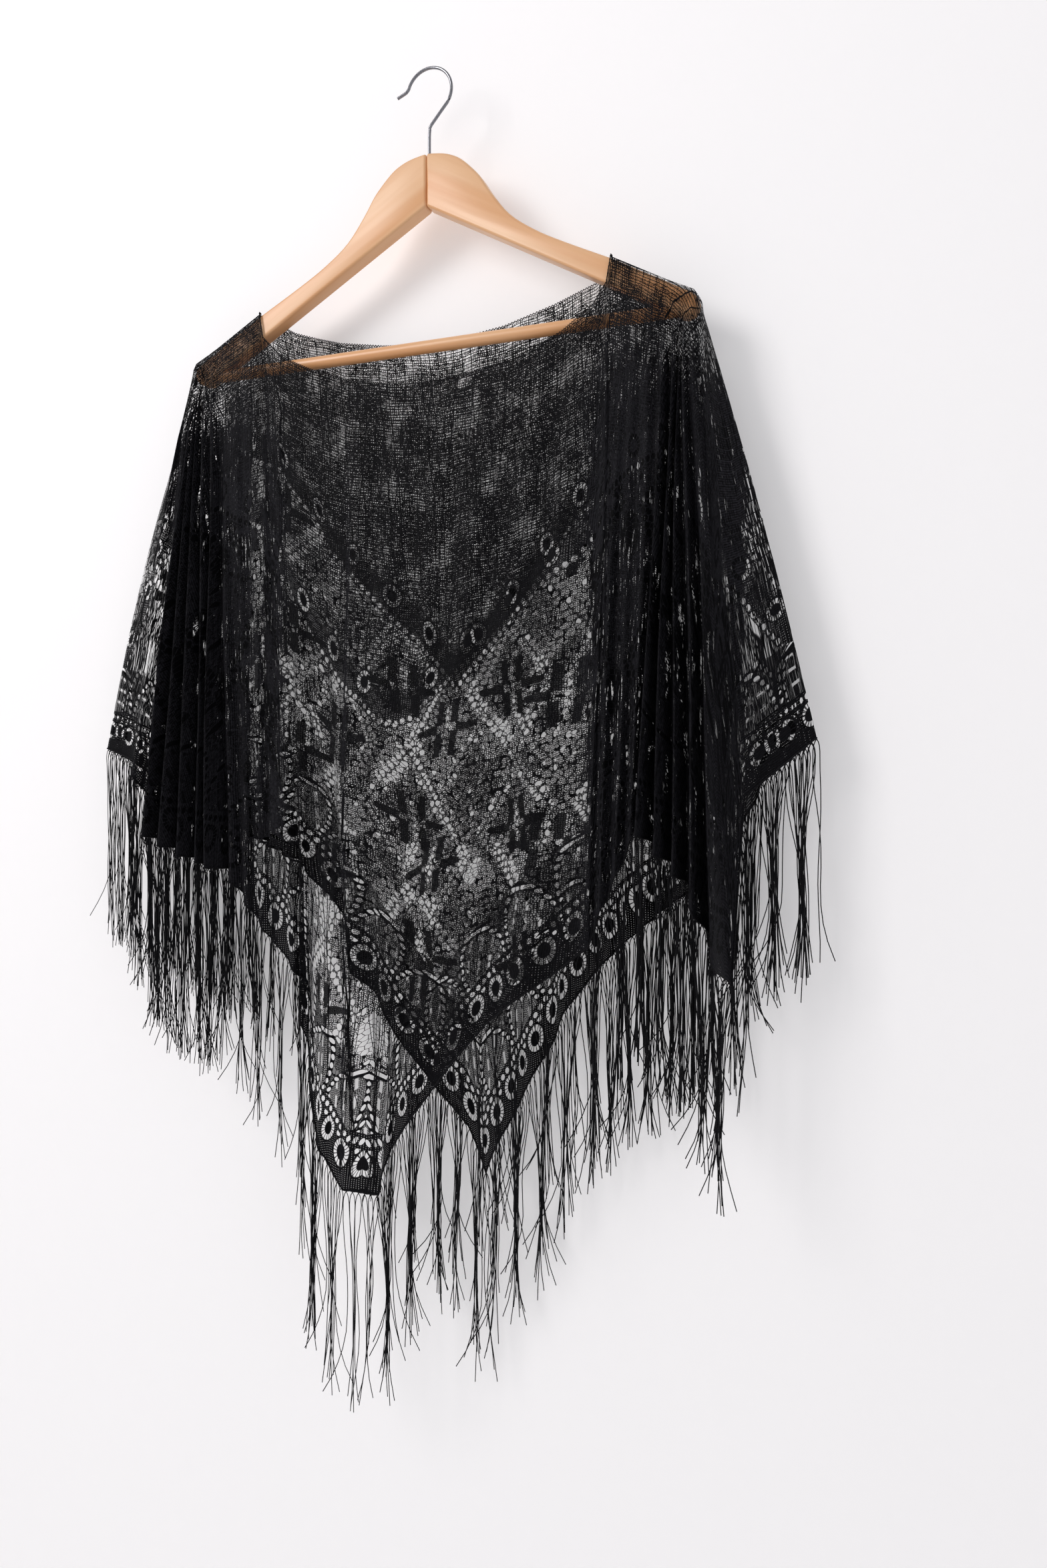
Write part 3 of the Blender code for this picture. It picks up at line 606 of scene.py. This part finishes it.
def panelMesh(name, folds, towards, seed, finish):
    columns = fineColumns(folds, panelCut["pleatDepth"][towards])
    overRows, rows = panelCut["overRows"], panelCut["rows"]
    verts, uvs, flats = [], [], []
    for i in range(rows + 1):
        for column in columns:
            length = cutLength(column["across"], column["turn"])
            over = panelCut["overArm"]
            if i < overRows:
                flat = over * i / overRows
                share = flat / length
            else:
                share = (i - overRows) / (rows - overRows)
                flat = blend(over, length, share)
                share = flat / length
            hanging = max(0.0, (flat - over) / (length - over))
            x, y, height = columnPoint(column, share, towards, seed)
            if column["armness"] > 0.0:
                ax, ay, aHeight = columnPoint(column, hanging, towards, seed)
                if i < overRows:
                    f = i / overRows
                    ay = blend(towards * 0.0003, column["yTop"] * 0.86, f)
                    aHeight = column["zTop"] + blend(*panelCut["armLift"], f)
                elif i == overRows:
                    aHeight += 0.0002
                w = column["armness"]
                x, y, height = blend(x, ax, w), blend(y, ay, w), blend(height, aHeight, w)
            verts.append((x, y, height - mitreDrop))
            angle = math.radians(column["turn"])
            outward = math.copysign(1.0, column["across"]) if column["turn"] < 89.99 else 0.0
            a = column["across"] + outward * flat * math.cos(angle)
            b = flat * math.sin(angle)
            flats.append((a, b))
            uvs.append((0.5 + a * 1000 / laceLook["uvWidth"], 1.0 - b * 1000 / laceLook["uvDepth"]))

    wide = len(columns)
    faces = []
    for i in range(rows):
        for j in range(wide - 1):
            ring = (i * wide + j, (i + 1) * wide + j, (i + 1) * wide + j + 1, i * wide + j + 1)
            faces.append(ring if towards < 0 else ring[::-1])
    made = addMesh(name, verts, faces, finish)
    layer = made.data.uv_layers.new(name="flatCut")
    corner = np.empty(len(made.data.loops), dtype=np.int64)
    made.data.loops.foreach_get("vertex_index", corner)
    layer.data.foreach_set("uv", np.array(uvs, dtype=np.float32)[corner].ravel())
    shares = gathers(verts, flats, wide, rows, towards)

    # the width that shows, in mm: the flat cut's own, but in the pleats little more than the hung width
    middle, run, runs = (rows // 2) * wide, 0.0, [0.0]
    for j in range(wide - 1):
        a, b = middle + j, middle + j + 1
        run += 1000 * min(math.dist(flats[a], flats[b]), panelCut["shown"] * abs(verts[b][0] - verts[a][0]))
        runs.append(run)
    for label, values in (("gather", shares), ("fold", runs * (rows + 1))):
        made.data.attributes.new(label, "FLOAT", "POINT").data.foreach_set("value", values)
    hem, top = ([Vector(v) for v in row] for row in (verts[-wide:], verts[:wide]))
    area = sum(p.area for p in made.data.polygons)
    print(name, "columns", wide, "faces", len(faces), "area", round(area, 3), "of", panelCut["flatArea"])
    return made, hem, flats[-wide:], top, columns


def tubeTree(name, radius, sides, finish):
    # sweeps a round profile along each polyline; the point attribute "thick" swells it
    tree = bpy.data.node_groups.new(name, "GeometryNodeTree")
    for label, way, kind, value in (
        ("Lines", "INPUT", "Geometry", None),
        ("Yarn Radius", "INPUT", "Float", radius),
        ("Profile Sides", "INPUT", "Int", sides),
        ("Yarn", "OUTPUT", "Geometry", None),
    ):
        port = tree.interface.new_socket(label, in_out=way, socket_type="NodeSocket" + kind)
        if value:
            port.default_value = value
    entry, end, curve, thick, setRadius, profile, sweep, shade, real, paint = (
        tree.nodes.new(kind)
        for kind in (
            "NodeGroupInput",
            "NodeGroupOutput",
            "GeometryNodeMeshToCurve",
            "GeometryNodeInputNamedAttribute",
            "GeometryNodeSetCurveRadius",
            "GeometryNodeCurvePrimitiveCircle",
            "GeometryNodeCurveToMesh",
            "GeometryNodeSetShadeSmooth",
            "GeometryNodeRealizeInstances",
            "GeometryNodeSetMaterial",
        )
    )
    thick.inputs["Name"].default_value = "thick"
    sweep.inputs["Fill Caps"].default_value = True
    paint.inputs["Material"].default_value = finish
    for source, given, target, taken in (
        (entry, "Lines", curve, "Mesh"),
        (curve, "Curve", setRadius, "Curve"),
        (thick, "Attribute", setRadius, "Radius"),
        (entry, "Yarn Radius", profile, "Radius"),
        (entry, "Profile Sides", profile, "Resolution"),
        (setRadius, "Curve", sweep, "Curve"),
        (profile, "Curve", sweep, "Profile Curve"),
        (sweep, "Mesh", shade, "Geometry"),
        (shade, "Geometry", real, "Geometry"),
        (real, "Geometry", paint, "Geometry"),
        (paint, "Geometry", end, "Yarn"),
    ):
        tree.links.new(source.outputs[given], target.inputs[taken])
    return tree


def sweptPiece(name, lines, radius, sides, finish):
    # lines: a list of (points, thicknesses) polylines
    points, thick, along, edges = [], [], [], []
    for path, swell in lines:
        start = len(points)
        run = 0.0
        for k, p in enumerate(path):
            if k:
                run += (Vector(p) - Vector(path[k - 1])).length
                edges.append((start + k - 1, start + k))
            points.append(tuple(p))
            thick.append(swell[k])
            along.append(run)
    mesh = bpy.data.meshes.new(name)
    mesh.from_pydata(points, edges, [])
    for label, values in (("thick", thick), ("along", along)):
        mesh.attributes.new(label, "FLOAT", "POINT").data.foreach_set("value", values)
    made = addObject(name, mesh)
    sweep = made.modifiers.new("sweep", "NODES")
    sweep.node_group = tubeTree(name + "_sweep", radius, sides, finish)
    bakeModifiers(made)
    print(name, "lines", len(lines), "faces", len(made.data.polygons))
    return made


fringeCut = {
    "pitch": 0.0062,  # one loop for each stretch of hem
    "fullness": {"left": 4.8, "right": 3.5},  # the most fringe that pleats carry, over their hung width
    "loopHalf": 0.0028,
    "loopDrop": 0.0085,
    "length": 0.165,
    "longest": 0.178,
    "spread": 0.013,
    "shortShare": 0.12,
    "strayShare": 0.10,
    "radius": 0.00036,
    "lockNarrow": 0.011,
    "lockWide": 0.022,
    "knot": 1.9,
    "steps": 11,
}


def hemStations(hem, flatHem):
    # a point on the hem for each loop, at an even pitch on the flat cut
    stations = []
    run, due = 0.0, 0.5
    for k in range(len(hem) - 1):
        most = fringeCut["fullness"]["left" if hem[k].x < 0 else "right"]
        flat = min(math.dist(flatHem[k], flatHem[k + 1]), most * abs(hem[k + 1].x - hem[k].x) + 0.0002)
        while due * fringeCut["pitch"] <= run + flat:
            f = (due * fringeCut["pitch"] - run) / max(flat, 1e-9)
            stations.append(hem[k].lerp(hem[k + 1], f))
            due += 1.0
        run += flat
    return stations


def strandLines(stations, dice):
    steps = fringeCut["steps"]
    shares = [0.0, 0.012, 0.03, 0.055] + [0.055 + 0.945 * (q / steps) for q in range(1, steps + 1)]
    lines = []
    place = 0
    while place < len(stations):
        # a lock: neighbouring strands that lean together as they fall
        wide = dice.uniform(fringeCut["lockNarrow"], fringeCut["lockWide"])
        last = place
        while last < len(stations) and abs(stations[last].x - stations[place].x) < wide and last - place < 9:
            last += 1
        members = stations[place:last]
        middle = sum(members, Vector()) / len(members)
        lean = dice.uniform(-0.004, 0.004)
        gather = dice.uniform(0.72, 0.98)
        meet = dice.uniform(0.28, 0.62)
        lockLength = fringeCut["length"] * dice.uniform(0.96, 1.05)
        for p in members:
            for leg in (-1, 1):
                length = min(fringeCut["longest"], lockLength + dice.uniform(-fringeCut["spread"], 0.004))
                if dice.random() < fringeCut["shortShare"]:
                    length *= dice.uniform(0.62, 0.9)
                stray = dice.random() < fringeCut["strayShare"]
                if stray:
                    curl = dice.choice((-1, 1)) * dice.uniform(0.010, 0.022)
                else:
                    curl = dice.gauss(0.0, 0.005)
                wave, phase = dice.uniform(0.0003, 0.0014), dice.uniform(0, 6.28)
                jitterX, jitterY = dice.gauss(0, 0.0010), dice.gauss(0, 0.0013)
                path, swell = [], []
                for share in shares:
                    t = share * length
                    open_ = 1.0 - math.exp(-t / (0.4 * fringeCut["loopDrop"]))
                    x = p.x + leg * fringeCut["loopHalf"] * open_
                    pull = gather * easeInOut(share / meet) * (0.55 if stray else 1.0)
                    x += (middle.x + lean * share + jitterX - x) * pull
                    loose = max(0.0, share - 0.62) / 0.38
                    x += curl * loose**1.8 + wave * math.sin(9.0 * share + phase) * min(1.0, share * 5)
                    y = p.y + (middle.y + jitterY - p.y) * pull * 0.85
                    y += 0.0009 * math.sin(7.0 * share + 2 * phase) * min(1.0, share * 5)
                    fall = t - 0.35 * abs(curl) * loose**2
                    path.append((x, y, p.z - 0.0004 - fall))
                    swell.append(1.0 - 0.12 * share)
                end, before = Vector(path[-1]), Vector(path[-2])
                way = (end - before).normalized()
                swell[-1] = 1.0
                for reach, size in ((0.0005, fringeCut["knot"]), (0.0012, fringeCut["knot"]), (0.0017, 0.7)):
                    path.append(tuple(end + way * reach))
                    swell.append(size)
                lines.append((path, swell))
        place = last
    return lines


edgeYarns = {
    "hemRadius": 0.0007,
    "hemScallop": 0.0002,
    "picotRadius": 0.00045,
    "picotRise": 0.0012,
}


def hemCord(hem):
    # the thick edge yarn that the loops hang from, gently scalloped
    line = [(p.x, p.y, p.z + 0.0004 + edgeYarns["hemScallop"] * math.sin(2.1 * k)) for k, p in enumerate(hem)]
    return line, [1.0] * len(line)


def neckPicots(top, columns):
    # a small loop at each column along the open neck, none along the arms
    neck = [k for k, column in enumerate(columns) if column["armness"] < 0.5 and column["turn"] > 80]
    line = []
    for k in neck[:-1]:
        line += [tuple(top[k]), tuple((top[k] + top[k + 1]) / 2 + Vector((0.0, 0.0, edgeYarns["picotRise"])))]
    line.append(tuple(top[neck[-1]]))
    return line, [1.0] * len(line)


hangerCut = {
    "thickness": 0.0138,
    "slope": math.radians(29.4),
    "length": 0.245,
    "endRadius": 0.009,
    "edgeRound": 0.0024,
    "mitreGap": 0.0003,
    "crownHeight": 0.042,
    "barRadius": 0.0051,
    "barHalf": 0.203,
    "barHeight": -0.110,
    "wireRadius": 0.00125,
    "loopRadius": 0.0193,
    "loopHeight": 0.094,
    "ballHalf": 0.0022,
    "ballSwell": 1.85,
}
# the right arm's top edge from the mitre's crown to the straight stretch: x and height
armCrown = (
    (0.0130, 0.0400),
    (0.0225, 0.0368),
    (0.0305, 0.0320),
    (0.0400, 0.0230),
    (0.0474, 0.0143),
    (0.0560, 0.0010),
    (0.0710, -0.0180),
    (0.0910, -0.0330),
    (0.1140, -0.0460),
    (0.1540, -0.0660),
)


def smoothLine(points, pieces):
    # a Catmull-Rom line through the points
    padded = [points[0]] + list(points) + [points[-1]]
    line = []
    for k in range(1, len(padded) - 2):
        p0, p1, p2, p3 = (Vector(padded[k + q]) for q in (-1, 0, 1, 2))
        for step in range(pieces):
            t = step / pieces
            bend, twist = 2 * p0 - 5 * p1 + 4 * p2 - p3, 3 * p1 - p0 - 3 * p2 + p3
            line.append(0.5 * (2 * p1 + (p2 - p0) * t + bend * t**2 + twist * t**3))
    line.append(Vector(points[-1]))
    return line


def armOutline():
    slope, length, end = hangerCut["slope"], hangerCut["length"], hangerCut["endRadius"]
    half = hangerCut["mitreGap"] / 2
    alongArm = Vector((math.cos(slope), -math.sin(slope)))
    up = Vector((math.sin(slope), math.cos(slope)))
    centre = alongArm * (length - end) + up * end
    outline = [Vector((half, -half * math.tan(slope)))]
    steps = 14
    for step in range(steps + 1):
        angle = -math.pi / 2 + math.pi * step / steps
        outline.append(centre + alongArm * end * math.cos(angle) + up * end * math.sin(angle))
    crown = smoothLine([(half, hangerCut["crownHeight"])] + list(armCrown), 4)
    return outline + list(reversed(crown))


def hangerArm(name, side, finish):
    outline = armOutline()
    half = hangerCut["thickness"] / 2
    count = len(outline)
    verts = [(side * p.x, y, p.y - mitreDrop) for y in (-half, half) for p in outline]
    faces = [list(range(count)), [count + k for k in reversed(range(count))]]
    faces += [(k, k + count, (k + 1) % count + count, (k + 1) % count) for k in range(count)]
    if side < 0:
        faces = [list(reversed(face)) for face in faces]
    arm = addMesh(name, verts, faces, finish)
    rounding = arm.modifiers.new("rounded edges", "BEVEL")
    rounding.width = hangerCut["edgeRound"]
    rounding.segments = 4
    rounding.limit_method = "ANGLE"
    rounding.angle_limit = math.radians(50)
    bakeModifiers(arm)
    arm.data.polygons.foreach_set("use_smooth", [True] * len(arm.data.polygons))
    arm.data.set_sharp_from_angle(angle=math.radians(32))
    return arm


def hookRoute():
    route = [(0.0, 0.016), (0.0, 0.030), (0.0, 0.045), (0.0, 0.058), (0.0004, 0.0635), (0.0018, 0.0675)]
    radius, height = hangerCut["loopRadius"], hangerCut["loopHeight"]
    first, last, steps = -35, 162, 36
    for step in range(steps + 1):
        angle = math.radians(first + (last - first) * step / steps)
        route.append((radius * math.cos(angle), height + radius * math.sin(angle)))
    route += [(-0.0200, 0.0981), (-0.0215, 0.0972), (-0.0240, 0.0962)]
    line = smoothLine(route, 2)
    swell = [1.0] * len(line)
    tip = line[-1]
    way = (line[-1] - line[-2]).normalized()
    for k in range(9):  # the ball on the wire's end
        turn = math.pi * k / 8
        reach = hangerCut["ballHalf"] * (1 - math.cos(turn))
        line.append(tip + way * (0.0002 + reach))
        swell.append(max(0.25, hangerCut["ballSwell"] * math.sin(turn)) if k else 1.0)
    return [(p.x, 0.0, p.y - mitreDrop) for p in line], swell


woodLook = {
    "pale": (0.80, 0.47, 0.25, 1.0),
    "warm": (0.70, 0.31, 0.11, 1.0),
    "deep": (0.55, 0.22, 0.08, 1.0),
    "roughness": 0.38,
    "coat": 0.25,
    "grain": (9.0, 120.0, 150.0),
    "streaks": (3.5, 30.0, 46.0),
}
chromeLook = {
    # painted reflection: both base tones are set dark, standing in for a dark room seen in the chrome
    "dimReflection": (0.30, 0.30, 0.32, 1.0),
    "wornDimReflection": (0.20, 0.20, 0.22, 1.0),
    "roughness": 0.08,
}


def woodMaterial(name, look, turn, streak):
    # straight grain along the piece, with one broad orange streak and fine pores
    made, tree, shader = newMaterial(name)
    lay = addNode(tree, "Mapping", {"Vector": ownPlace(tree), "Rotation": (0.0, turn, 0.0)}).outputs[0]
    grain = addNode(tree, "Mapping", {"Vector": lay, "Scale": look["grain"]}).outputs[0]
    lines = {"Vector": grain, "Scale": 1.0, "Detail": 5.0, "Roughness": 0.6, "Distortion": 0.4}
    lines = Flow(tree, addNode(tree, "TexNoise", lines).outputs["Fac"])
    broad = addNode(tree, "Mapping", {"Vector": lay, "Scale": look["streaks"], "Location": streak})
    patches = addNoise(tree, broad.outputs[0], 1.0, 2.0)
    ramp = addNode(tree, "ValToRGB", {"Fac": patches.outputs["Fac"]})
    for k, position, colour in ((0, 0.42, look["pale"]), (1, 0.66, look["warm"])):
        ramp.color_ramp.elements[k].position = position
        ramp.color_ramp.elements[k].color = colour
    fine = lines.step("MULTIPLY_ADD", 1.6, -0.72, clamp=True)
    addTint(tree, shader, fine * 0.34, ramp.outputs["Color"], look["deep"])
    addRelief(tree, shader, lines, 0.15, 0.0004)
    rough = lines.step("MULTIPLY_ADD", 0.2, look["roughness"] - 0.1)
    feed(tree, shader, {"Roughness": rough, "Coat Weight": look["coat"], "Coat Roughness": 0.25})
    return made


def chromeMaterial(name, look):
    made, tree, shader = newMaterial(name)
    wear = Flow(tree, addNoise(tree, ownPlace(tree), 260.0, 3.0).outputs["Fac"])
    # painted reflection: dark base tones stand in for a dark room seen in the chrome, in random patches
    addTint(tree, shader, wear, look["dimReflection"], look["wornDimReflection"])
    rough = wear.step("MULTIPLY_ADD", 0.14, look["roughness"])
    feed(tree, shader, {"Roughness": rough, "Metallic": 1.0})
    return made


print("materials")
tearPlace = {"across": 26.5, "down": 33.5, "halfWidth": 8.2, "halfTall": 4.3}
frontLace = laceMaterial("front lace", laceLook, 0.50, 0.3)
backLace = laceMaterial("back lace", laceLook, 0.70, 5.1, tearPlace)
strandYarn = yarnMaterial("fringe yarn", laceLook, 0.0016)
edgeYarn = yarnMaterial("edge yarn", laceLook, 0.0022)
woodLeft = woodMaterial("left arm wood", woodLook, hangerCut["slope"], (0.3, 0.1, 0.7))
woodRight = woodMaterial("right arm wood", woodLook, -hangerCut["slope"], (1.9, 0.4, 0.2))
woodBar = woodMaterial("bar wood", woodLook, 0.0, (4.2, 2.0, 1.1))
chrome = chromeMaterial("hook chrome", chromeLook)

print("hanger")
armLeft = hangerArm("arm_left_wood", -1, woodLeft)
armRight = hangerArm("arm_right_wood", 1, woodRight)
barLine = [(f * hangerCut["barHalf"], 0.0, hangerCut["barHeight"] - mitreDrop) for f in (-1, -0.5, 0, 0.5, 1)]
bar = sweptPiece("bar_dowel", [(barLine, [1.0] * len(barLine))], hangerCut["barRadius"], 40, woodBar)
hookLine, hookSwell = hookRoute()
hook = sweptPiece("hook_wire", [(hookLine, hookSwell)], hangerCut["wireRadius"], 16, chrome)
for piece, node, slot in (
    (armLeft, "hanger_arm_left", "hanger_wood"),
    (armRight, "hanger_arm_right", "hanger_wood"),
    (bar, "hanger_bar", "bar_wood"),
    (hook, "hanger_hook", "hook_wire"),
):
    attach(piece, "root")
    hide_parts(node)

print("poncho")
for layer, folds, towards, finish, seed in (
    ("front", frontFolds, -1, frontLace, 0.4),
    ("back", backFolds, 1, backLace, 2.1),
):
    panel, hem, flatHem, top, columns = panelMesh(layer + "_lace", folds, towards, seed, finish)
    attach(panel, "root")
    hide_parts(layer + "_panel")
    dice = random.Random(31 if layer == "front" else 57)
    stations = hemStations(hem, flatHem)
    lowest = min(range(len(stations)), key=lambda k: stations[k].z)
    for side, group in (("left", stations[: lowest + 1]), ("right", stations[lowest + 1 :])):
        name = f"{layer}_fringe_{side}"
        fringe = sweptPiece(name, strandLines(group, dice), fringeCut["radius"], 4, strandYarn)
        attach(fringe, "root")
        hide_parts(f"fringe_{layer}_{side}")
    for name, line, radius, sides in (
        (layer + "_hem_yarn", hemCord(hem), edgeYarns["hemRadius"], 6),
        (layer + "_neck_picots", neckPicots(top, columns), edgeYarns["picotRadius"], 5),
    ):
        piece = sweptPiece(name, [line], radius, sides, edgeYarn)
        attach(piece, "root")

print("room")
room = {
    "wallY": 0.036,
    "wallHalf": 3.0,
    "wallTop": 1.6,
    "floorZ": -1.62,
    "floorHalf": 4.0,
    "middle": (0.0, 0.0, -0.5),  # the lamps look here
    "skyTint": (0.97, 0.97, 1.0, 1.0),
    "skyStrength": 0.50,
    "wallPale": (0.80, 0.785, 0.79, 1.0),
    "glowTint": (1.0, 0.99, 1.0, 1.0),
    "wallGlow": 0.27,  # keeps the cloth's own shadow on the wall soft and pale
    "floorPale": (0.86, 0.86, 0.86, 1.0),
}
# name, place, width, height, watts and colour
lamps = (
    ("window_left", (-1.15, -1.55, 0.55), 0.8, 1.0, 22.0, (1.0, 0.98, 0.97)),
    ("fill_right", (1.8, -1.6, -0.3), 1.6, 1.8, 3.0, (0.97, 0.98, 1.0)),
    ("rim_back", (0.8, 1.8, 0.8), 1.4, 1.4, 12.0, (1.0, 1.0, 1.0)),
)
photoView = {
    "lens": 26.8,
    "sensor": 36.0,
    "place": (0.4005, -0.8490, -0.5725),
    "turn": math.radians(20.65),
}
bpy.context.scene.view_settings.view_transform = "Standard"


def paleMaterial(name, colour, glow, seeThroughBack):
    made, tree, shader = newMaterial(name)
    plaster = addNoise(tree, ownPlace(tree), 60.0, 3.0)
    duller = tuple(0.985 * c for c in colour[:3]) + (1.0,)
    addTint(tree, shader, plaster.outputs["Fac"], colour, duller)
    feed(tree, shader, {"Roughness": 0.9, "Emission Color": room["glowTint"], "Emission Strength": glow})
    if seeThroughBack:
        behind = addNode(tree, "NewGeometry").outputs["Backfacing"]
        clear = addNode(tree, "BsdfTransparent").outputs[0]
        choice = addNode(tree, "MixShader", {0: behind, 1: shader.outputs[0], 2: clear})
        out = next(node for node in tree.nodes if node.type == "OUTPUT_MATERIAL")
        feed(tree, out, {"Surface": choice.outputs[0]})
    return made


half, low, high, out = room["wallHalf"], room["floorZ"], room["wallTop"], room["floorHalf"]
wall = addMesh(
    "studio_wall",
    [(x, room["wallY"], z) for x, z in ((-half, low), (half, low), (half, high), (-half, high))],
    [(0, 1, 2, 3)],
    paleMaterial("wall paint", room["wallPale"], room["wallGlow"], True),
)
floor = addMesh(
    "studio_floor",
    [(x, y, low) for x, y in ((-out, -out), (out, -out), (out, out), (-out, out))],
    [(0, 1, 2, 3)],
    paleMaterial("floor paint", room["floorPale"], 0.0, False),
)

world = bpy.data.worlds.new("soft sky")
world.use_nodes = True
sky = world.node_tree.nodes["Background"]
sky.inputs["Color"].default_value = room["skyTint"]
sky.inputs["Strength"].default_value = room["skyStrength"]
bpy.context.scene.world = world


def areaLight(name, place, wide, tall, power, colour):
    data = bpy.data.lights.new(name, "AREA")
    data.shape = "RECTANGLE"
    data.size, data.size_y = wide, tall
    data.energy = power
    data.color = colour
    made = addObject(name, data)
    made.location = place
    made.rotation_euler = (Vector(room["middle"]) - Vector(place)).to_track_quat("-Z", "Y").to_euler()


for lamp in lamps:
    areaLight(*lamp)

lens = bpy.data.cameras.new("photo_view")
lens.lens = photoView["lens"]
lens.sensor_width = photoView["sensor"]
lens.clip_start = 0.01
camera = addObject("photo_view", lens)
camera.location = photoView["place"]
camera.rotation_euler = (math.pi / 2, 0.0, photoView["turn"])
bpy.context.scene.camera = camera
